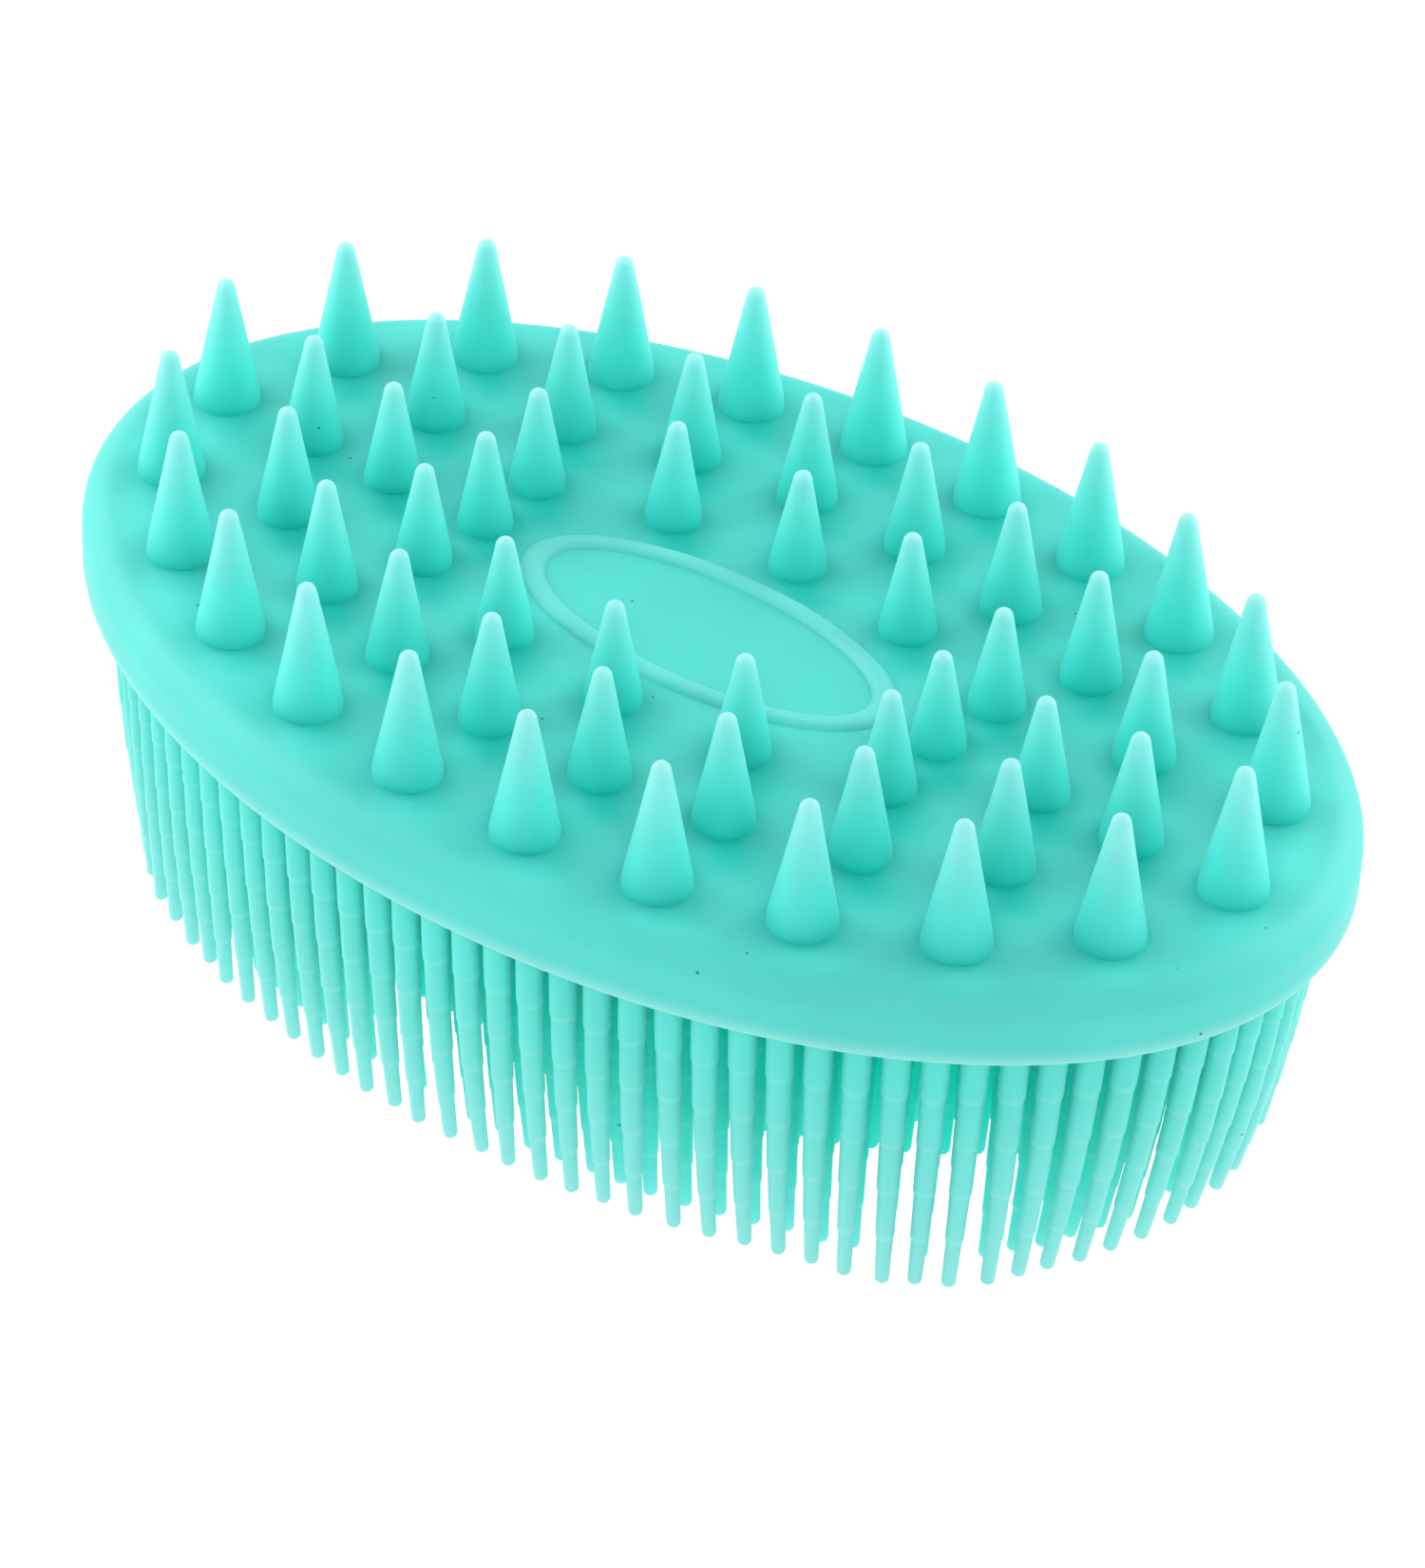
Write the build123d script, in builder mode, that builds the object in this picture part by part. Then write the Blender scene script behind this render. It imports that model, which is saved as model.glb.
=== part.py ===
"""A two-sided silicone curry brush for washing and grooming pets.

The brush is an oval pad with massage cones on its top and long soft bristles underneath. The real
object is one silicone moulding, so each feature that does a job of its own is a separate solid here,
standing face to face on the pad.

Frame: millimetres, +X along the pad's length, +Y across it, +Z up through the cones. The origin is
under the middle of the pad, on the surface that the long bristles stand on.
"""

import os
from math import atan, cos, degrees, hypot, pi, radians, sin, tan

from build123d import *

# Overall size
brush_length = 125.0
brush_width = 80.0
brush_height = 45.0

# Pad
pad_thickness = 6.9
pad_top_edge_radius = 2.8
pad_bottom_edge_radius = 0.8

# Massage cones, from the outer ring inwards: name, how far the ring lies inside the pad's outline,
# number of cones and height. The two innermost cones stand on the pad's long axis.
cone_rings = (
    ("outer_cone", 7.7, 22, 12.4),
    ("second_cone", 17.9, 18, 10.9),
    ("third_cone", 27.2, 12, 10.0),
)
inner_cone_offset = 24.7
inner_cone_height = 9.6
cone_half_angle = 11.05
cone_tip_radius = 0.83
cone_foot_height = 0.4
cone_foot_spread = 0.12

# Blank oval badge bead in the middle of the pad's top
bead_length = 39.0
bead_width = 17.4
blank_length = 34.0
blank_width = 13.4
bead_height = 0.5
bead_edge_radius = 0.35

# All bristles: how much further inside the pad's outline a row runs at the ends of the pad
bristle_end_inset = 1.4

# Long bristles: two rows round the edge, one right behind the other, which lean inwards
long_bristle_count = 96
long_row_insets = (2.2, 5.4)
long_bristle_lean = 1.8
tip_flat_depth = 0.08

# Joints of a bristle from its root to its tip: radius at the top and at the bottom of each
long_joints = ((1.20, 1.18), (1.08, 1.07), (0.98, 0.95), (0.85, 0.78), (0.68, 0.60))
short_joints = ((1.18, 1.15), (1.05, 0.98), (0.88, 0.66))
ledge_height = 0.3

# Short bristles: upright, in rows that fill the space inside the long ones
short_bristle_length = 16.9
third_row_inset = 9.0
third_row_count = 87
field_row_spacing = 4.0
field_pitch = 3.9
least_seat_distance = 3.0

half_length = brush_length / 2
half_width = brush_width / 2
pad_top = brush_height - cone_rings[0][3]
pad_bottom = pad_top - pad_thickness


def inset_point(angle, inset, end_inset=0.0):
    """The point this far inside the pad's outline on its normal at this angle, and that normal."""
    inset += end_inset * cos(angle) ** 2
    normal_x = cos(angle) / half_length
    normal_y = sin(angle) / half_width
    size = hypot(normal_x, normal_y)
    normal_x /= size
    normal_y /= size
    x = half_length * cos(angle) - inset * normal_x
    y = half_width * sin(angle) - inset * normal_y
    return x, y, normal_x, normal_y


def ring_curve(inset, end_inset=0.0):
    """Angles and running lengths along the closed curve this far inside the pad's outline.

    Deep inside, the curve crosses itself near the pad's ends. Only the part of it on its own side
    of the long axis is kept, so that the ring stays a simple pointed oval.
    """
    steps = 1440
    angles = []
    lengths = []
    last = None
    for step in range(steps + 1):
        angle = 2 * pi * step / steps
        x, y, _, _ = inset_point(angle, inset, end_inset)
        if y * sin(angle) < -1e-9:
            continue
        travelled = lengths[-1] + hypot(x - last[0], y - last[1]) if last else 0.0
        angles.append(angle)
        lengths.append(travelled)
        last = (x, y)
    return angles, lengths


def stations(inset, count, shift=0.0, end_inset=0.0):
    """Outline angles of evenly spaced places on a ring, from its +X end, shifted by part of a pitch."""
    angles, lengths = ring_curve(inset, end_inset)
    found = []
    for place in range(count):
        target = (place + shift) / count * lengths[-1]
        index = next(i for i, travelled in enumerate(lengths) if travelled >= target)
        before = max(index - 1, 0)
        span = lengths[index] - lengths[before]
        share = (target - lengths[before]) / span if span else 0.0
        found.append(angles[before] + share * (angles[index] - angles[before]))
    return found


def export(part, label):
    """Names a finished piece and writes it."""
    part.label = label
    export_step(part, f"parts/{label}.step")


def make_pad():
    """The oval slab that holds everything, with a soft top edge."""
    with BuildPart() as pad:
        with BuildSketch(Plane.XY.offset(pad_bottom)):
            Ellipse(half_length, half_width)
        extrude(amount=pad_thickness)
        fillet(pad.edges().group_by(Axis.Z)[-1], pad_top_edge_radius)
        fillet(pad.edges().group_by(Axis.Z)[0], pad_bottom_edge_radius)
    export(pad.part, "pad")


def make_badge_bead():
    """A low rounded bead that frames the blank oval in the middle of the pad."""
    with BuildPart() as bead:
        with BuildSketch(Plane.XY.offset(pad_top)):
            Ellipse(bead_length / 2, bead_width / 2)
            Ellipse(blank_length / 2, blank_width / 2, mode=Mode.SUBTRACT)
        extrude(amount=bead_height)
        fillet(bead.edges().group_by(Axis.Z)[-1], bead_edge_radius)
    export(bead.part, "badge_bead")


def make_cone(x, y, height, label):
    """A massage cone: a spread foot, a straight taper and a round tip."""
    half_angle = radians(cone_half_angle)
    tip_x = cone_tip_radius * cos(half_angle)
    tip_z = height - cone_tip_radius + cone_tip_radius * sin(half_angle)
    base_radius = tip_x + tip_z * tan(half_angle)
    foot_x = base_radius - cone_foot_height * tan(half_angle)
    with BuildPart() as cone:
        with BuildSketch(Plane((x, y, pad_top), x_dir=(1, 0, 0), z_dir=(0, -1, 0))):
            with BuildLine():
                Line((0, 0), (base_radius + cone_foot_spread, 0))
                TangentArc(
                    (foot_x, cone_foot_height),
                    (base_radius + cone_foot_spread, 0),
                    tangent=(sin(half_angle), -cos(half_angle)),
                )
                Line((foot_x, cone_foot_height), (tip_x, tip_z))
                TangentArc((tip_x, tip_z), (0, height), tangent=(-sin(half_angle), cos(half_angle)))
                Line((0, height), (0, 0))
            make_face()
        revolve(axis=Axis((x, y, 0), (0, 0, 1)))
    export(cone.part, label)


def make_cones():
    for name, inset, count, height in cone_rings:
        for number, angle in enumerate(stations(inset, count), start=1):
            x, y, _, _ = inset_point(angle, inset)
            make_cone(x, y, height, f"{name}_{number:02d}")
    for number, side in enumerate((1, -1), start=1):
        make_cone(side * inner_cone_offset, 0, inner_cone_height, f"inner_cone_{number:02d}")


def make_bristle(length, joints, root_extra=0.0):
    """One bristle about the Z axis, hanging from z = 0: tapered joints that step in to a round tip."""
    joint_length = length / len(joints)
    tip_radius = joints[-1][1]
    points = [(0, root_extra), (joints[0][0], root_extra)]
    for number, (top_radius, bottom_radius) in enumerate(joints):
        if number > 0:
            points.append((top_radius, -number * joint_length - ledge_height))
        if number < len(joints) - 1:
            points.append((bottom_radius, -(number + 1) * joint_length))
    shoulder = (tip_radius, tip_radius - length)
    middle = tip_radius * cos(pi / 4)
    with BuildPart() as bristle:
        with BuildSketch(Plane.XZ):
            with BuildLine():
                Polyline(*points, shoulder)
                ThreePointArc(shoulder, (middle, tip_radius - length - middle), (0, -length))
                Line((0, -length), points[0])
            make_face()
        revolve(axis=Axis.Z)
    return bristle.part


def make_long_row(label, inset):
    """A row of long bristles that lean inwards and stand with small flats on the surface below."""
    lean = atan(long_bristle_lean / pad_bottom)
    tip_radius = long_joints[-1][1]
    reach = (pad_bottom + tip_flat_depth - tip_radius) / cos(lean) + tip_radius
    bristle = make_bristle(reach, long_joints, root_extra=0.2)
    places = []
    for angle in stations(long_row_insets[0], long_bristle_count, 0.5, bristle_end_inset):
        x, y, normal_x, normal_y = inset_point(angle, inset, bristle_end_inset)
        upright = Plane((x, y, pad_bottom), z_dir=(normal_x * sin(lean), normal_y * sin(lean), cos(lean)))
        places.append(upright.location)
    with BuildPart() as row:
        with Locations(*places):
            add(bristle)
        split(bisect_by=Plane.XY.offset(pad_bottom), keep=Keep.BOTTOM)
        split(bisect_by=Plane.XY, keep=Keep.TOP)
    export(row.part, label)


def make_short_rows(label, seats):
    """Short upright bristles at these places."""
    bristle = make_bristle(short_bristle_length, short_joints)
    with BuildPart() as field:
        with Locations(*[(x, y, pad_bottom) for x, y in seats]):
            add(bristle)
    export(field.part, label)


def row_seats(inset, count):
    """Evenly spaced places on one row, half a pitch off the +X end."""
    angles = stations(inset, count, 0.5, bristle_end_inset)
    return [inset_point(angle, inset, bristle_end_inset)[:2] for angle in angles]


def field_seats():
    """Places in rows at one spacing until the pad's middle is full, none too close to another."""
    seats = []
    inset = third_row_inset + field_row_spacing
    while inset < half_width - field_row_spacing / 2:
        count = round(ring_curve(inset, bristle_end_inset)[1][-1] / field_pitch)
        for x, y in row_seats(inset, count):
            if all(hypot(x - other_x, y - other_y) > least_seat_distance for other_x, other_y in seats):
                seats.append((x, y))
        inset += field_row_spacing
    return seats


os.makedirs("parts", exist_ok=True)
make_pad()
make_badge_bead()
make_cones()
make_long_row("outer_bristle_row", long_row_insets[0])
make_long_row("second_bristle_row", long_row_insets[1])
make_short_rows("third_bristle_row", row_seats(third_row_inset, third_row_count))
make_short_rows("inner_bristle_field", field_seats())
print(f"pad top {pad_top:.1f}, pad bottom {pad_bottom:.1f}, inner bristles {len(field_seats())}")
print(f"outer bristles lean {degrees(atan(long_bristle_lean / pad_bottom)):.1f} degrees")
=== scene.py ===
"""Looks for the silicone curry brush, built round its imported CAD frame.

Metres, in the frame of the CAD part: +X along the pad, +Y across it, +Z up through the massage cones.
Every CAD node is replaced by a finer piece of the same size in the same place.
"""

import math
import random

import bpy
import numpy as np
from mathutils import Matrix, Vector


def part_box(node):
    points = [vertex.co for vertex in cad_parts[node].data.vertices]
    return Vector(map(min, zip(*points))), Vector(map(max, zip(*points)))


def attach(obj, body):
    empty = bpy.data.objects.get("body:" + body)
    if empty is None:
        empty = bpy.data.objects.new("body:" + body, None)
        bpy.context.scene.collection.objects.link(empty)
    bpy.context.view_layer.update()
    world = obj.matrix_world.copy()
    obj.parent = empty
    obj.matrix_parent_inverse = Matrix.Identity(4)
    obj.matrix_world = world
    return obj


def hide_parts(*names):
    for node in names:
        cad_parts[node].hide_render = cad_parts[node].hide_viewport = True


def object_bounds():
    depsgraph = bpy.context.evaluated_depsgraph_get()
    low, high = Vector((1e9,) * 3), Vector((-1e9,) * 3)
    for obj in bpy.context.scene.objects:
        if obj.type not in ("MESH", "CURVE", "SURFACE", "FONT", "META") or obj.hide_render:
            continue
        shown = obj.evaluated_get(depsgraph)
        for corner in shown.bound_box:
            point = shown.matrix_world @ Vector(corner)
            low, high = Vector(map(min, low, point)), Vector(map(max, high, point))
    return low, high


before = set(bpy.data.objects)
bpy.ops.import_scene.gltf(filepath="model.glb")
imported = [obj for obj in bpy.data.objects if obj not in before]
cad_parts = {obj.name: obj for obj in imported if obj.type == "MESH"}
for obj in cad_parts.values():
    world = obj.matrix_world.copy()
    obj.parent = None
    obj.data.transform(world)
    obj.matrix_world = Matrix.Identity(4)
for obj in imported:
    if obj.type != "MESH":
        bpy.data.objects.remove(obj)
cad_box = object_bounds()

MM = 0.001

# Camera: where it stands round the brush, and its lens
camera_azimuth = 36.67
camera_elevation = 36.92
camera_roll = 2.59
camera_distance = 553.5 * MM
camera_aim = Vector((5.4, -5.4, 22.0)) * MM
lens_mm = 148.3

# Pad: its rolled edges, and how far the painted floor light on its pale lower edge fades upwards
top_edge_radius = 2.8 * MM
bottom_edge_radius = 1.2 * MM
painted_floor_light_band = 2.0 * MM
pad_sides = 360
pad_spokes = 90
top_edge_steps = 14
wall_steps = 5
bottom_edge_steps = 8

# Cones: their taper and tips, and how their feet tuck in
cone_half_angle = math.radians(11.05)
cone_tip_radius = 0.83 * MM
cone_foot_height = 0.7 * MM
cone_foot_tuck = 0.12 * MM
cone_sides = 56
cone_side_steps = 24
cone_tip_steps = 10
cone_lean = 0.10 * MM

# Cones' painted light and shade: where and how fast painted light pales them towards the tip, and how
# strong the painted shade at a foot is and the share of the height over which it fades, in the outer ring
# and further in
cone_painted_light_start = 0.2
cone_painted_light_power = 1.5
cone_painted_light = 0.58
outer_foot_shade = (0.75, 0.10)
inner_foot_shade = (0.95, 0.20)

# Painted shade on the pad: a darker, more saturated ring round each cone's foot, and a painted shadow
# patch on the cone's shaded side
foot_shade_strength = 0.6
foot_shade_reach = 3.0 * MM
foot_shade_fade = 1.2 * MM
painted_shadow_strength = 0.85
painted_shadow_offset = np.array((3.5, -3.4)) * MM
painted_shadow_reach = 2.7 * MM
painted_shadow_limit = 0.92
painted_shadow_fade = 0.15
pad_painted_shade = 0.95

# Badge bead: half axes of the blank oval inside it, how sharply its sides turn, and its painted highlight
# along the top
blank_half_length = 17.0 * MM
blank_half_width = 6.7 * MM
bead_sides = 240
bead_steps = 29
bead_power = 2.8
bead_painted_highlight = 0.25

# How far every piece on the pad goes down or up into it, and which of its edges stay sharp
skirt = 0.25 * MM
crease = math.radians(60)

# Bristles: radius at the top and at the bottom of each joint, from the root to the tip
long_joints = ((1.20, 1.18), (1.08, 1.07), (0.98, 0.95), (0.85, 0.78), (0.68, 0.61))
short_joints = ((1.18, 1.15), (1.05, 0.98), (0.88, 0.66))
ledge_length = 0.22 * MM
# Painted highlight on the lips at each joint, and how fast painted light pales a bristle towards its tip
lip_painted_highlight = 0.22
tip_painted_light_power = 1.3
tip_cap = 0.7
tip_steps = 7
tip_fullness = 0.85
root_turn = 2 * MM
curl_range = (0.35, 0.8)
long_jitter = 0.13 * MM
short_jitter = 0.12 * MM
second_row_bend = 0.7
long_sides = 20
short_sides = 12

# How the tips of the long bristles stand off their CAD places. Turns are in degrees from the middle
# of a long side: 90 at the +X end, -90 at the -X end. Each pressed end has its amount and its reach;
# each leaning stretch has its amount, its middle, its reach and how sharply it begins.
pressed_ends = ((1, 2.0 * MM, 30.0), (-1, 1.7 * MM, 45.0))
inward_stretches = ((0.6 * MM, 12.0, 18.0, 2), (-1.6 * MM, 47.0, 9.5, 4), (-0.75 * MM, -37.0, 12.0, 2))
sideways_stretches = ((1.8 * MM, 66.0, 16.0, 2), (1.2 * MM, -44.0, 11.0, 2), (-0.3 * MM, 12.0, 30.0, 4))

chance = random.Random(7)


# ---------------------------------------------------------------- helpers


def clamped(value):
    """The value, kept between 0 and 1."""
    return max(0.0, min(1.0, value))


def make_piece(name, vertices, faces, node_names, material, painted_lights, painted_shades, crease_angle=None):
    """A smooth-shaded mesh piece that rides on the brush and stands for these CAD nodes."""
    mesh = bpy.data.meshes.new(name)
    mesh.from_pydata([tuple(v) for v in vertices], [], faces)
    mesh.validate()
    mesh.polygons.foreach_set("use_smooth", [True] * len(mesh.polygons))
    if crease_angle is not None:
        mesh.set_sharp_from_angle(angle=crease_angle)
    # Two attributes: the first holds painted light, the second painted shade
    for attribute_name, values in (("tip", painted_lights), ("painted_shade", painted_shades)):
        attribute = mesh.attributes.new(attribute_name, "FLOAT", "POINT")
        attribute.data.foreach_set("value", np.array(values, np.float32))
    mesh.update()
    piece = bpy.data.objects.new(name, mesh)
    bpy.context.scene.collection.objects.link(piece)
    mesh.materials.append(material)
    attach(piece, "root")
    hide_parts(*node_names)


def ring_faces(first, second, count):
    """Quads between two closed rings of `count` vertices that start at these indices."""
    faces = []
    for k in range(count):
        n = (k + 1) % count
        faces.append((first + k, first + n, second + n, second + k))
    return faces


def fan_faces(ring, centre, count):
    """Triangles from a closed ring up to one vertex."""
    return [(ring + k, ring + (k + 1) % count, centre) for k in range(count)]


# ---------------------------------------------------------------- camera


def add_camera():
    """The camera, turned round the point it aims at and rolled about its own axis."""
    azimuth = math.radians(camera_azimuth)
    elevation = math.radians(camera_elevation)
    roll = math.radians(camera_roll)
    back = Vector((math.sin(azimuth) * math.cos(elevation), -math.cos(azimuth) * math.cos(elevation),
                   math.sin(elevation)))
    level = Vector((math.cos(azimuth), math.sin(azimuth), 0.0))
    rise = back.cross(level)
    right = level * math.cos(roll) + rise * math.sin(roll)
    up = rise * math.cos(roll) - level * math.sin(roll)
    data = bpy.data.cameras.new("camera")
    data.lens = lens_mm
    data.sensor_width = 36.0
    data.clip_start = 0.01
    camera = bpy.data.objects.new("camera", data)
    bpy.context.scene.collection.objects.link(camera)
    turn = Matrix((right, up, back)).transposed().to_4x4()
    camera.matrix_world = Matrix.Translation(camera_aim + back * camera_distance) @ turn
    bpy.context.scene.camera = camera


add_camera()


# ---------------------------------------------------------------- materials

# Clouds in the colour, then specks of dust: cells to the metre, the size of a speck in its cell,
# the share of cells that have one, how much it covers and its colour
cloud_contrast = 0.04
dust_scale = 400.0
dust_size = 0.06
dust_share = 0.14
dust_strength = 0.75
dust_colour = (0.01, 0.10, 0.10)


def silicone(name, body, tip, painted_shade, weight, radius, gloss=0.5, sheen=0.25, glow=0.0):
    """Satin translucent silicone: pale towards the tip with painted light, darker in hollows with painted
    shade, with grain and specks.

    The first colour is its body, the second that of its painted light towards the tip, the third that of
    its painted shade in hollows. Weight and radius say how much light it scatters inside, and how far. The
    glow is a painted glow: an emission that stands in for the light a dense field of bristles passes on
    from one to the next.
    """
    material = bpy.data.materials.new(name)
    material.use_nodes = True
    nodes = material.node_tree.nodes
    links = material.node_tree.links
    shader = nodes["Principled BSDF"]
    shader.inputs["IOR"].default_value = 1.43
    shader.inputs["Subsurface Radius"].default_value = (0.4, 1.0, 0.9)
    shader.inputs["Subsurface Scale"].default_value = radius
    shader.inputs["Specular IOR Level"].default_value = gloss
    shader.inputs["Sheen Weight"].default_value = sheen
    shader.inputs["Sheen Roughness"].default_value = 0.45
    shader.inputs["Sheen Tint"].default_value = (0.5, 1.0, 0.95, 1)
    # A painted glow: emission standing in for light passed on through a dense field of bristles
    shader.inputs["Emission Color"].default_value = (0.0, 0.86, 0.68, 1)
    shader.inputs["Emission Strength"].default_value = glow

    # Soft clouds of lighter and darker body colour
    place = nodes.new("ShaderNodeTexCoord")
    cloud = nodes.new("ShaderNodeTexNoise")
    cloud.inputs["Scale"].default_value = 60.0
    cloud.inputs["Detail"].default_value = 3.0
    links.new(place.outputs["Object"], cloud.inputs["Vector"])

    colour = nodes.new("ShaderNodeValToRGB")
    dark = [c * (1 - cloud_contrast) for c in body]
    light = [min(1.0, c * (1 + cloud_contrast)) for c in body]
    colour.color_ramp.elements[0].position = 0.35
    colour.color_ramp.elements[0].color = (*dark, 1)
    colour.color_ramp.elements[1].position = 0.65
    colour.color_ramp.elements[1].color = (*light, 1)
    links.new(cloud.outputs["Fac"], colour.inputs["Fac"])

    # Painted light paling towards the tip, and painted shade darkening and saturating the hollows, where
    # less light scatters inside
    painted_light_mask = nodes.new("ShaderNodeAttribute")
    painted_light_mask.attribute_name = "tip"
    painted_light_mix = nodes.new("ShaderNodeMix")
    painted_light_mix.data_type = "RGBA"
    links.new(painted_light_mask.outputs["Fac"], painted_light_mix.inputs["Factor"])
    links.new(colour.outputs["Color"], painted_light_mix.inputs["A"])
    painted_light_mix.inputs["B"].default_value = (*tip, 1)

    painted_shade_mask = nodes.new("ShaderNodeAttribute")
    painted_shade_mask.attribute_name = "painted_shade"
    painted_shade_mix = nodes.new("ShaderNodeMix")
    painted_shade_mix.data_type = "RGBA"
    links.new(painted_shade_mask.outputs["Fac"], painted_shade_mix.inputs["Factor"])
    links.new(painted_light_mix.outputs["Result"], painted_shade_mix.inputs["A"])
    painted_shade_mix.inputs["B"].default_value = (*painted_shade, 1)

    fade = nodes.new("ShaderNodeMapRange")
    fade.inputs["From Max"].default_value = 0.5
    fade.inputs["To Min"].default_value = weight
    fade.inputs["To Max"].default_value = 0.0
    links.new(painted_shade_mask.outputs["Fac"], fade.inputs["Value"])
    links.new(fade.outputs["Result"], shader.inputs["Subsurface Weight"])

    # A few dark specks of dust
    dust = nodes.new("ShaderNodeTexVoronoi")
    dust.inputs["Scale"].default_value = dust_scale
    links.new(place.outputs["Object"], dust.inputs["Vector"])
    dot = nodes.new("ShaderNodeMath")
    dot.operation = "LESS_THAN"
    dot.inputs[1].default_value = dust_size
    links.new(dust.outputs["Distance"], dot.inputs[0])
    pick = nodes.new("ShaderNodeSeparateColor")
    links.new(dust.outputs["Color"], pick.inputs["Color"])
    rare = nodes.new("ShaderNodeMath")
    rare.operation = "GREATER_THAN"
    rare.inputs[1].default_value = 1 - dust_share
    links.new(pick.outputs["Red"], rare.inputs[0])
    speck = nodes.new("ShaderNodeMath")
    speck.operation = "MULTIPLY"
    links.new(dot.outputs[0], speck.inputs[0])
    links.new(rare.outputs[0], speck.inputs[1])
    faint = nodes.new("ShaderNodeMath")
    faint.operation = "MULTIPLY"
    faint.inputs[1].default_value = dust_strength
    links.new(speck.outputs[0], faint.inputs[0])
    dusty = nodes.new("ShaderNodeMix")
    dusty.data_type = "RGBA"
    links.new(faint.outputs[0], dusty.inputs["Factor"])
    links.new(painted_shade_mix.outputs["Result"], dusty.inputs["A"])
    dusty.inputs["B"].default_value = (*dust_colour, 1)
    links.new(dusty.outputs["Result"], shader.inputs["Base Color"])

    # Fine grain and slow swells, in the gloss and in the relief
    grain = nodes.new("ShaderNodeTexNoise")
    grain.inputs["Scale"].default_value = 2600.0
    grain.inputs["Detail"].default_value = 2.0
    links.new(place.outputs["Object"], grain.inputs["Vector"])
    swell = nodes.new("ShaderNodeTexNoise")
    swell.inputs["Scale"].default_value = 240.0
    swell.inputs["Detail"].default_value = 2.0
    links.new(place.outputs["Object"], swell.inputs["Vector"])

    rough = nodes.new("ShaderNodeMapRange")
    rough.inputs["To Min"].default_value = 0.42
    rough.inputs["To Max"].default_value = 0.58
    links.new(swell.outputs["Fac"], rough.inputs["Value"])
    links.new(rough.outputs["Result"], shader.inputs["Roughness"])

    fine = nodes.new("ShaderNodeBump")
    fine.inputs["Strength"].default_value = 0.25
    fine.inputs["Distance"].default_value = 0.02 * MM
    links.new(grain.outputs["Fac"], fine.inputs["Height"])
    wavy = nodes.new("ShaderNodeBump")
    wavy.inputs["Strength"].default_value = 0.3
    wavy.inputs["Distance"].default_value = 0.04 * MM
    links.new(swell.outputs["Fac"], wavy.inputs["Height"])
    links.new(fine.outputs["Normal"], wavy.inputs["Normal"])
    links.new(wavy.outputs["Normal"], shader.inputs["Normal"])
    return material


# Painted shade colours for hollows and cone feet; each silicone's second colour is that of its painted
# light towards the tip
painted_shade_colour = (0.0, 0.62, 0.54)
pad_painted_shade_colour = (0.0, 0.52, 0.45)
pad_silicone = silicone("pad_silicone", (0.095, 0.735, 0.667), (0.36, 0.86, 0.82), pad_painted_shade_colour, 0.3, 1.2 * MM)
cone_silicone = silicone("cone_silicone", (0.092, 0.78, 0.715), (0.51, 0.70, 0.71), painted_shade_colour, 0.85, 4.2 * MM)
bristle_silicone = silicone("bristle_silicone", (0.105, 0.80, 0.72), (0.31, 0.87, 0.83), painted_shade_colour, 0.3,
                            1.2 * MM)
# Brighter, more saturated copies of the bristle silicone with a painted glow, standing in for light passed
# on inside the dense bristle field
second_silicone = silicone("second_silicone", (0.015, 0.86, 0.75), (0.27, 0.88, 0.83), painted_shade_colour, 0.6,
                           2.0 * MM, gloss=0.15, sheen=0.0, glow=0.07)
short_silicone = silicone("short_silicone", (0.025, 0.90, 0.79), (0.16, 0.90, 0.83), painted_shade_colour, 0.6,
                          2.0 * MM, gloss=0.15, sheen=0.0, glow=0.12)


# ---------------------------------------------------------------- pad


pad_low, pad_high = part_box("pad")
half_length = 0.5 * (pad_high.x - pad_low.x)
half_width = 0.5 * (pad_high.y - pad_low.y)

cone_nodes = sorted(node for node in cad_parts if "_cone_" in node)
cone_places = [0.5 * (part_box(node)[0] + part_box(node)[1]) for node in cone_nodes]
cone_axes = np.array([(place.x, place.y) for place in cone_places])


def painted_shade_at(x, y):
    """Painted shade: 1 at the foot of a cone, falling away across the pad, with a painted shadow patch on
    the cone's shaded side.
    """
    away = np.stack((x - cone_axes[:, 0], y - cone_axes[:, 1]), axis=1)
    foot = np.exp(-np.maximum(0.0, np.hypot(away[:, 0], away[:, 1]) - foot_shade_reach) / foot_shade_fade)
    patch = away - painted_shadow_offset
    shade = np.exp(-(np.hypot(patch[:, 0], patch[:, 1]) / painted_shadow_reach) ** 2)
    inside = clamped((painted_shadow_limit - math.hypot(x / half_length, y / half_width)) / painted_shadow_fade)
    return min(1.0, foot_shade_strength * foot.max() + painted_shadow_strength * shade.max() * inside)


def outline_point(angle, inset):
    """The point this far inside the pad's outline, on the outline's normal at this angle."""
    normal = Vector((math.cos(angle) / half_length, math.sin(angle) / half_width)).normalized()
    point = Vector((half_length * math.cos(angle), half_width * math.sin(angle)))
    return point - normal * inset, normal


def edge_profile():
    """The pad's edge from the top face round to the underside, as (inset, height) pairs."""
    points = []
    for k in range(top_edge_steps + 1):
        turn = math.pi / 2 * k / top_edge_steps
        points.append((top_edge_radius * (1 - math.sin(turn)),
                       pad_high.z - top_edge_radius * (1 - math.cos(turn))))
    for k in range(1, wall_steps):
        share = k / wall_steps
        points.append((0.0, pad_high.z - top_edge_radius
                       - share * (pad_high.z - pad_low.z - top_edge_radius - bottom_edge_radius)))
    for k in range(bottom_edge_steps + 1):
        turn = math.pi / 2 * k / bottom_edge_steps
        points.append((bottom_edge_radius * (1 - math.cos(turn)),
                       pad_low.z + bottom_edge_radius * (1 - math.sin(turn))))
    return points


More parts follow.
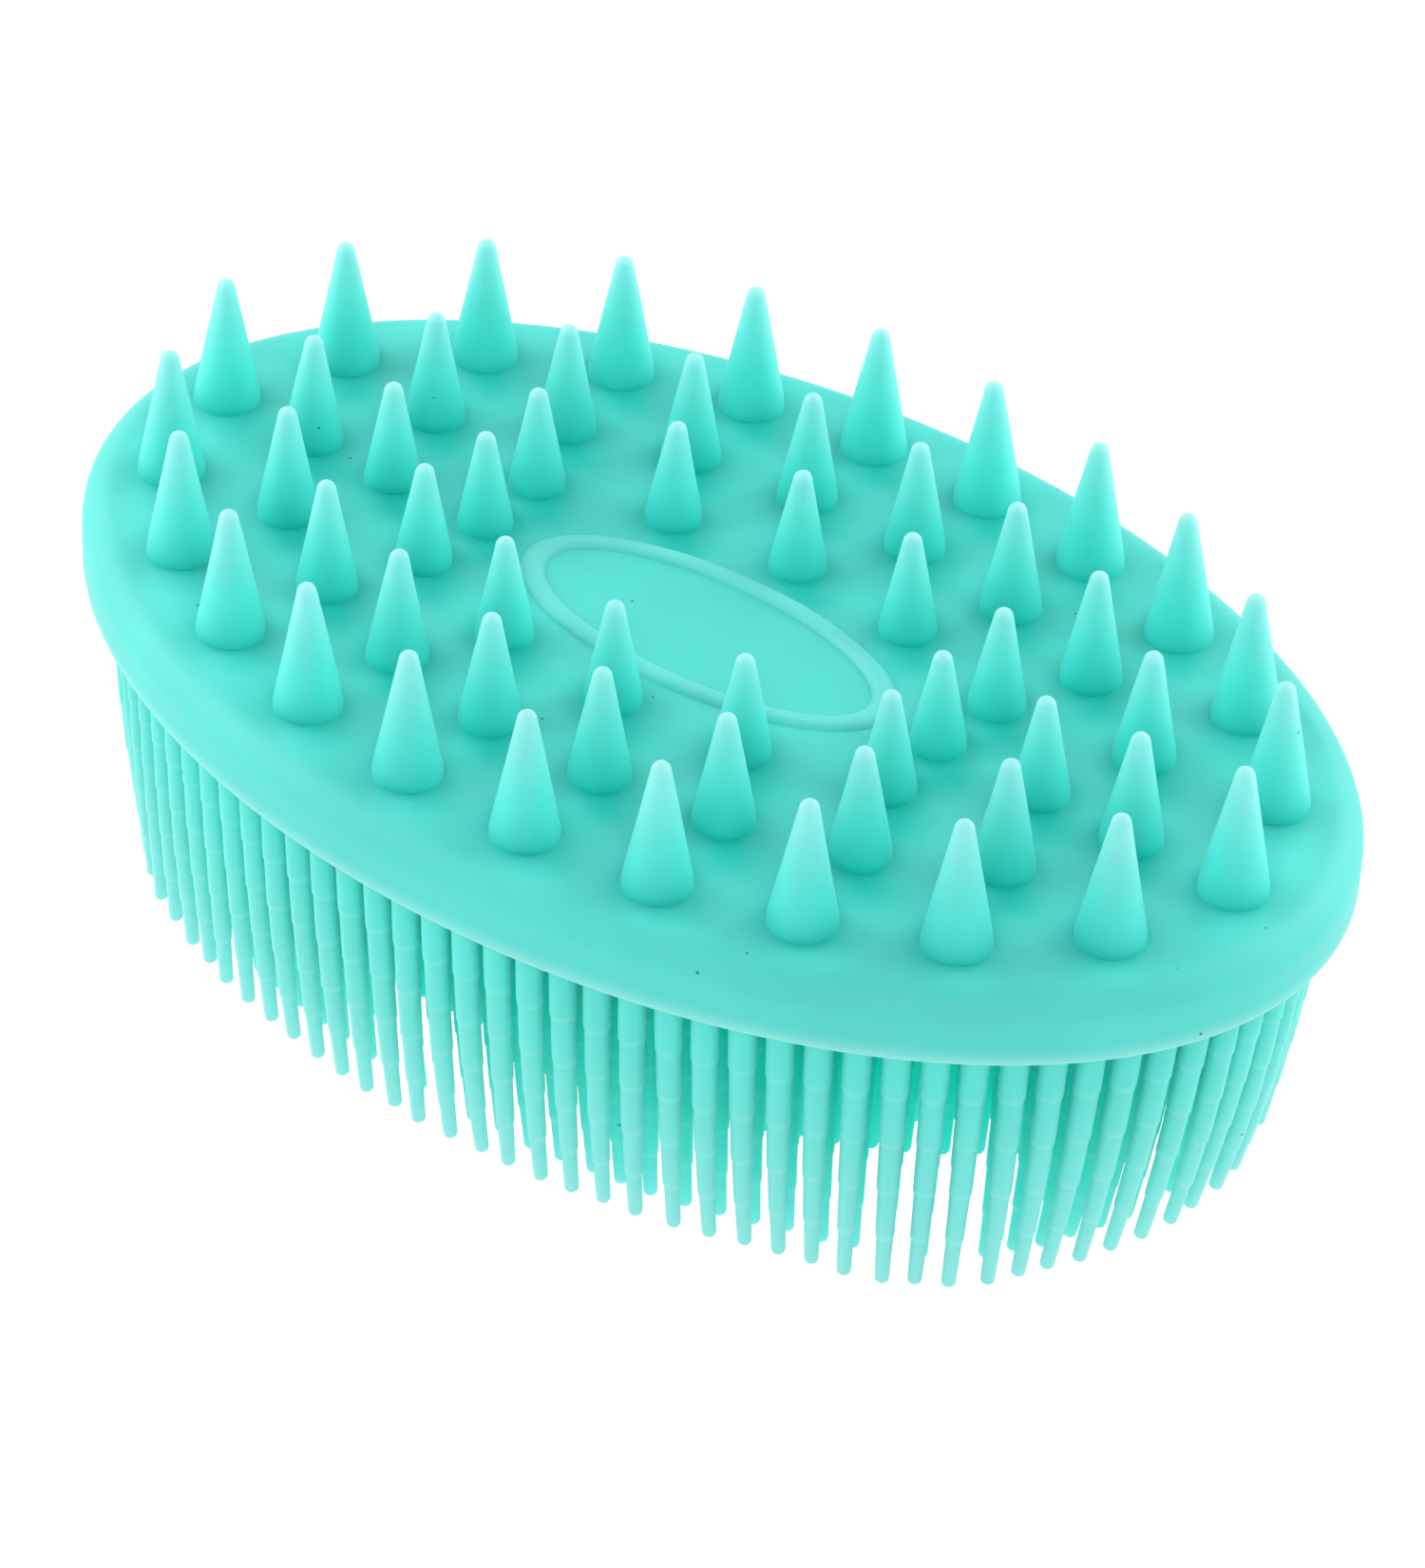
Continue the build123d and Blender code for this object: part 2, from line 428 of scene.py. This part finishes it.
def make_pad():
    """The oval slab: flat rings across the top, a rolled edge and a flat underside."""
    angles = [2 * math.pi * k / pad_sides for k in range(pad_sides)]
    vertices = []
    faces = []
    painted_lights = []
    painted_shades = []
    rings = 0

    def flat_ring(share, inset, height):
        for angle in angles:
            point, _ = outline_point(angle, inset)
            vertices.append((point.x * share, point.y * share, height))
            # Painted floor light: palest at the lower edge and across the underside
            painted_lights.append(clamped((pad_low.z + painted_floor_light_band - height) / painted_floor_light_band))
            # Painted shade round the cones' feet and painted shadows beside them, above the pale lower
            # band only
            above_band = height > pad_low.z + painted_floor_light_band
            painted_shades.append(pad_painted_shade * painted_shade_at(*vertices[-1][:2]) if above_band else 0.0)

    profile = edge_profile()
    vertices.append((0.0, 0.0, pad_high.z))
    painted_lights.append(0.0)
    painted_shades.append(0.0)
    for k in range(1, pad_spokes):
        flat_ring(k / pad_spokes, top_edge_radius, pad_high.z)
        rings += 1
    for inset, height in profile:
        flat_ring(1.0, inset, height)
        rings += 1
    for k in range(pad_spokes - 1, 0, -1):
        flat_ring(k / pad_spokes, bottom_edge_radius, pad_low.z)
        rings += 1
    vertices.append((0.0, 0.0, pad_low.z))
    painted_lights.append(1.0)
    painted_shades.append(0.0)
    faces += [(0, 1 + k, 1 + (k + 1) % pad_sides) for k in range(pad_sides)]
    for ring in range(rings - 1):
        start = 1 + ring * pad_sides
        faces += [tuple(reversed(f)) for f in ring_faces(start, start + pad_sides, pad_sides)]
    last = 1 + (rings - 1) * pad_sides
    faces += [tuple(reversed(f)) for f in fan_faces(last, len(vertices) - 1, pad_sides)]
    make_piece("pad_body", vertices, faces, ["pad"], pad_silicone, painted_lights, painted_shades)


make_pad()


# ---------------------------------------------------------------- badge bead


def make_bead():
    """A low flat-topped bead with soft edges between two ovals, its skirt let into the pad."""
    low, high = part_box("badge_bead")
    outer = Vector((0.5 * (high.x - low.x), 0.5 * (high.y - low.y)))
    height = high.z - low.z
    vertices = []
    painted_lights = []
    for k in range(bead_sides):
        angle = 2 * math.pi * k / bead_sides
        rim = Vector((outer.x * math.cos(angle), outer.y * math.sin(angle)))
        blank = Vector((blank_half_length * math.cos(angle), blank_half_width * math.sin(angle)))
        vertices.append((blank.x, blank.y, low.z - skirt))
        painted_lights.append(0.0)
        for j in range(bead_steps):
            turn = math.pi * j / (bead_steps - 1)
            u = 0.5 - 0.5 * math.cos(turn)
            lift = 1 - abs(2 * u - 1) ** bead_power
            point = blank.lerp(rim, u)
            vertices.append((point.x, point.y, low.z + height * lift))
            # Painted highlight, palest along the raised top of the bead
            painted_lights.append(bead_painted_highlight * lift)
        vertices.append((rim.x, rim.y, low.z - skirt))
        painted_lights.append(0.0)
    faces = []
    column = bead_steps + 2
    for k in range(bead_sides):
        first = k * column
        second = ((k + 1) % bead_sides) * column
        for j in range(column):
            n = (j + 1) % column
            faces.append((first + j, first + n, second + n, second + j))
    make_piece("badge_bead_ring", vertices, faces, ["badge_bead"], pad_silicone, painted_lights,
               [0.0] * len(vertices), crease)


make_bead()


# ---------------------------------------------------------------- massage cones


def cone_profile(height):
    """Half outline of a cone, as (radius, height) pairs from the skirt in the pad to below its tip."""
    tip_x = cone_tip_radius * math.cos(cone_half_angle)
    tip_z = height - cone_tip_radius * (1 - math.sin(cone_half_angle))
    base = tip_x + tip_z * math.tan(cone_half_angle)
    points = [(base - cone_foot_tuck, -skirt)]
    for k in range(cone_side_steps):
        share = k / cone_side_steps
        tuck = cone_foot_tuck * max(0.0, 1 - tip_z * share / cone_foot_height) ** 2
        points.append((base + (tip_x - base) * share - tuck, tip_z * share))
    for k in range(cone_tip_steps):
        turn = cone_half_angle + (math.pi / 2 - cone_half_angle) * k / cone_tip_steps
        points.append((cone_tip_radius * math.cos(turn),
                       height - cone_tip_radius * (1 - math.sin(turn))))
    return points


def make_cone(node):
    """One cone, standing where its CAD node stands, with a slight lean of its own."""
    low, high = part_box(node)
    centre = 0.5 * (low + high)
    height = high.z - low.z
    lean = Vector((chance.uniform(-1, 1), chance.uniform(-1, 1))) * cone_lean
    # Painted shade at the cone's foot, stronger and taller on the cones further in
    foot_shade, foot_shade_share = outer_foot_shade if "outer" in node else inner_foot_shade
    vertices = []
    painted_lights = []
    painted_shades = []
    profile = cone_profile(height)
    for radius, z in profile:
        share = max(0.0, z / height)
        for k in range(cone_sides):
            angle = 2 * math.pi * k / cone_sides
            vertices.append((centre.x + radius * math.cos(angle) + lean.x * share ** 2,
                             centre.y + radius * math.sin(angle) + lean.y * share ** 2,
                             low.z + z))
            # Painted light paling the cone towards its tip, painted shade darkening its foot
            painted_lights.append(painted_tip_light(share))
            painted_shades.append(foot_shade * math.exp(-share / foot_shade_share))
    vertices.append((centre.x + lean.x, centre.y + lean.y, high.z))
    painted_lights.append(painted_tip_light(1.0))
    painted_shades.append(0.0)
    faces = []
    for ring in range(len(profile) - 1):
        faces += ring_faces(ring * cone_sides, (ring + 1) * cone_sides, cone_sides)
    faces += fan_faces((len(profile) - 1) * cone_sides, len(vertices) - 1, cone_sides)
    faces.append(tuple(reversed(range(cone_sides))))
    make_piece(node + "_soft", vertices, faces, [node], cone_silicone, painted_lights, painted_shades, crease)


def painted_tip_light(share):
    """How much painted light pales a cone at this share of its height: hardly at its foot, most at its
    tip.
    """
    upper = clamped((share - cone_painted_light_start) / (1 - cone_painted_light_start))
    return upper ** cone_painted_light_power * cone_painted_light


for node in cone_nodes:
    make_cone(node)


# ---------------------------------------------------------------- bristles


def bristle_places(node):
    """The middle of each bristle's root and of its tip, read from the CAD node's separate solids."""
    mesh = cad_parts[node].data
    corners = np.zeros(len(mesh.vertices) * 3)
    mesh.vertices.foreach_get("co", corners)
    corners = corners.reshape(-1, 3)
    _, same = np.unique(np.round(corners / (0.01 * MM)).astype(np.int64), axis=0, return_inverse=True)
    same = same.reshape(-1)
    edges = np.zeros(len(mesh.edges) * 2, np.int64)
    mesh.edges.foreach_get("vertices", edges)
    edges = same[edges.reshape(-1, 2)]
    label = np.arange(same.max() + 1)
    while True:
        lower = np.minimum(label[edges[:, 0]], label[edges[:, 1]])
        fresh = label.copy()
        np.minimum.at(fresh, edges[:, 0], lower)
        np.minimum.at(fresh, edges[:, 1], lower)
        fresh = fresh[fresh]
        if (fresh == label).all():
            break
        label = fresh
    label = label[same]
    places = []
    for solid in np.unique(label):
        own = corners[label == solid]
        root = own[own[:, 2] > own[:, 2].max() - 0.05 * MM]
        tip = own[own[:, 2] < own[:, 2].min() + 0.05 * MM]
        places.append((Vector((root.min(0) + root.max(0)) / 2), Vector((tip.min(0) + tip.max(0)) / 2)))
    return places


def bristle_profile(length, joints):
    """Rings down a bristle, as (distance from the root, radius, painted highlight at a joint's lip),
    stepped in at each joint.
    """
    joint_length = length / len(joints)
    tip_radius = joints[-1][1] * MM
    cap = tip_cap * tip_radius
    points = [(-skirt, joints[0][0] * MM, 0.0)]
    for number, (top_radius, bottom_radius) in enumerate(joints):
        start = number * joint_length
        end = start + joint_length
        if number > 0:
            above = joints[number - 1][1]
            points.append((start + 0.5 * ledge_length, 0.5 * (above + top_radius) * MM, lip_painted_highlight))
            start += ledge_length
        if number == len(joints) - 1:
            end = length - cap
        for share in (0.0, 0.1, 0.35, 0.65, 0.9, 1.0):
            radius = top_radius + (bottom_radius - top_radius) * share
            lip_highlight = lip_painted_highlight if share == 1.0 and end < length - cap else 0.0
            points.append((start + (end - start) * share, radius * MM, lip_highlight))
    for k in range(1, tip_steps):
        turn = math.pi / 2 * k / tip_steps
        points.append((length - cap * (1 - math.sin(turn)),
                       tip_radius * math.cos(turn) ** tip_fullness, 0.0))
    return points


def outline_angle(root):
    """The outline angle whose normal runs through this place."""
    angle = math.atan2(root.y / half_width, root.x / half_length)
    for _ in range(6):
        point, _ = outline_point(angle, 0.0)
        along = Vector((-half_length * math.sin(angle), half_width * math.cos(angle)))
        angle += (root.xy - point).dot(along) / along.length_squared
    return angle


def stretch(turn, amount, middle, reach, power):
    """An amount that fades away within this reach of the middle of a stretch of the row."""
    return amount * math.exp(-abs((turn - middle) / reach) ** power)


def bend_of(root):
    """How far the tip of a long bristle stands off its CAD place."""
    angle = outline_angle(root)
    side = 1 if root.y > 0 else -1
    turn = 90.0 - side * math.degrees(angle)
    inwards = sum(stretch(turn, *values) for values in inward_stretches)
    for end, amount, reach in pressed_ends:
        away = 90.0 - end * turn
        if away < reach:
            inwards += amount * math.cos(math.pi / 2 * away / reach)
    sideways = sum(stretch(turn, *values) for values in sideways_stretches)
    normal = outline_point(angle, 0.0)[1]
    along = Vector((-normal.y, normal.x)) * side
    return along * sideways - normal * inwards


def make_bristles(name, node, joints, sides, jitter, bend, material):
    """Every bristle of one CAD node as one piece: stepped, tapered and slightly bent."""
    vertices = []
    faces = []
    painted_lights = []
    for root, tip in bristle_places(node):
        length = root.z - tip.z
        offset = Vector((tip.x - root.x, tip.y - root.y))
        if bend:
            offset += bend_of(root) * bend
        offset += Vector((chance.gauss(0, 1), chance.gauss(0, 1))) * jitter
        curl = chance.uniform(*curl_range)
        profile = bristle_profile(length, joints)
        base = len(vertices)
        for distance, radius, lip_highlight in profile:
            share = max(0.0, distance / length)
            sway = share * (1 - curl) + share * share * curl
            slope = offset * ((1 - curl) + 2 * share * curl) / length
            middle = Vector((root.x + offset.x * sway, root.y + offset.y * sway, root.z - distance))
            for k in range(sides):
                angle = 2 * math.pi * k / sides
                dx = radius * math.cos(angle)
                dy = radius * math.sin(angle)
                rise = (dx * slope.x + dy * slope.y) * clamped(distance / root_turn)
                vertices.append((middle.x + dx, middle.y + dy, middle.z + rise))
                # Painted light paling the bristle towards its tip, with painted highlights on the joints'
                # lips
                painted_lights.append(min(1.0, share ** tip_painted_light_power + lip_highlight))
        vertices.append((root.x + offset.x, root.y + offset.y, tip.z))
        painted_lights.append(1.0)
        for ring in range(len(profile) - 1):
            start = base + ring * sides
            faces += [tuple(reversed(f)) for f in ring_faces(start, start + sides, sides)]
        last = base + (len(profile) - 1) * sides
        faces += [tuple(reversed(f)) for f in fan_faces(last, len(vertices) - 1, sides)]
        faces.append(tuple(range(base, base + sides)))
    make_piece(name, vertices, faces, [node], material, painted_lights, [0.0] * len(vertices), crease)


make_bristles("outer_bristles", "outer_bristle_row", long_joints, long_sides, long_jitter, 1.0,
              bristle_silicone)
make_bristles("second_bristles", "second_bristle_row", long_joints, long_sides, long_jitter,
              second_row_bend, second_silicone)
make_bristles("third_bristles", "third_bristle_row", short_joints, short_sides, short_jitter, 0.0,
              short_silicone)
make_bristles("inner_bristles", "inner_bristle_field", short_joints, short_sides, short_jitter, 0.0,
              short_silicone)


# ---------------------------------------------------------------- floor and light


def add_floor():
    """A wide white floor that shows no shadow."""
    mesh = bpy.data.meshes.new("floor")
    reach = 3.0
    height = cad_box[0][2] - 0.02 * MM
    corners = [(-reach, -reach, height), (reach, -reach, height),
               (reach, reach, height), (-reach, reach, height)]
    mesh.from_pydata(corners, [], [(0, 1, 2, 3)])
    floor = bpy.data.objects.new("floor", mesh)
    bpy.context.scene.collection.objects.link(floor)
    material = bpy.data.materials.new("pale_floor")
    material.use_nodes = True
    nodes = material.node_tree.nodes
    shader = nodes["Principled BSDF"]
    shader.inputs["Base Color"].default_value = (0.2, 0.2, 0.2, 1)
    shader.inputs["Roughness"].default_value = 0.9
    shader.inputs["Emission Color"].default_value = (1, 1, 1, 1)
    seen = nodes.new("ShaderNodeLightPath")
    glow = nodes.new("ShaderNodeMapRange")
    glow.inputs["To Min"].default_value = 0.8
    glow.inputs["To Max"].default_value = 1.0
    material.node_tree.links.new(seen.outputs["Is Camera Ray"], glow.inputs["Value"])
    material.node_tree.links.new(glow.outputs["Result"], shader.inputs["Emission Strength"])
    mesh.materials.append(material)


world_strength = 0.29
softbox_size = 0.25

# Soft boxes: name, how far behind the brush and to its right as the camera sees it, height, power
softboxes = (
    ("left_box", 0.03, -0.26, 0.16, 0.47),
    ("right_box", 0.03, 0.26, 0.16, 0.44),
    ("rear_left_box", 0.20, -0.20, 0.20, 0.34),
    ("rear_right_box", 0.20, 0.20, 0.20, 0.36),
    ("front_box", -0.30, 0.0, 0.22, 0.38),
)


def add_softbox(name, place, size, strength):
    """A square soft light at this place that shines at the middle of the pad."""
    data = bpy.data.lights.new(name, "AREA")
    data.energy = strength
    data.size = size
    light = bpy.data.objects.new(name, data)
    bpy.context.scene.collection.objects.link(light)
    light.location = place
    light.rotation_euler = (camera_aim - light.location).to_track_quat("-Z", "Y").to_euler()


def add_lights():
    """The soft boxes and an even white world."""
    azimuth = math.radians(camera_azimuth)
    depth = Vector((-math.sin(azimuth), math.cos(azimuth)))
    across = Vector((math.cos(azimuth), math.sin(azimuth)))
    for name, away, aside, height, strength in softboxes:
        place = Vector((away * depth.x + aside * across.x, away * depth.y + aside * across.y, height))
        add_softbox(name, place, softbox_size, strength)
    world = bpy.data.worlds.new("studio")
    bpy.context.scene.world = world
    world.use_nodes = True
    world.node_tree.nodes["Background"].inputs["Color"].default_value = (1, 1, 1, 1)
    world.node_tree.nodes["Background"].inputs["Strength"].default_value = world_strength
    bpy.context.scene.view_settings.view_transform = "Standard"


add_floor()
add_lights()
